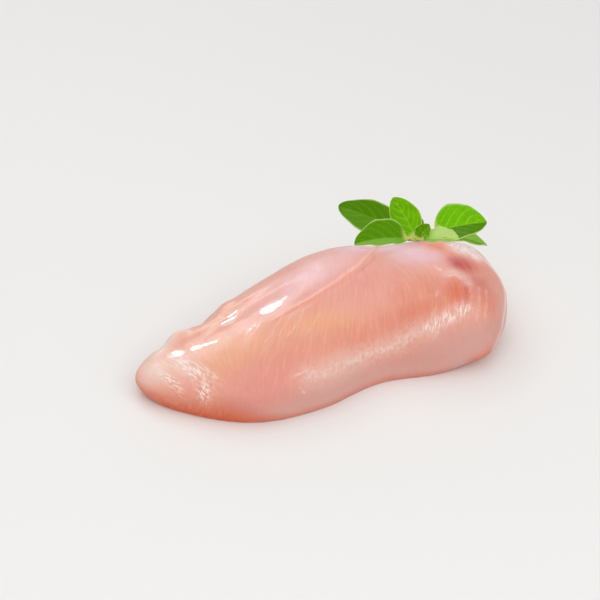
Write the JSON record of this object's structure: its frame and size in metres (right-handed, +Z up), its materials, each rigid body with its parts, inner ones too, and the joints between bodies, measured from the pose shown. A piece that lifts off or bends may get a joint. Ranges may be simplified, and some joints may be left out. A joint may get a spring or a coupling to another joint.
{
  "type": "raw chicken breast",
  "caption": "Raw skinless chicken breast fillet lying on its flat side, tapering to a thin tip, with a small sprig of green herb leaves on its crest.",
  "frame": {"origin": "on the flat base of the fillet, a little on the thick end's side of its middle", "axes": "+X along the fillet from its thin tip to its thick end, -Y the side of the full rounded flank, +Z up from the base"},
  "size_m": [0.191, 0.0951, 0.0593],
  "materials": {
    "raw_flesh": null,
    "herb_leaf": "fresh green leaf with paler veins and margin, satin"
  },
  "bodies": {
    "root": {"chicken_breast": "raw_flesh", "oregano_sprig": "herb_leaf"}
  },
  "joints": []
}
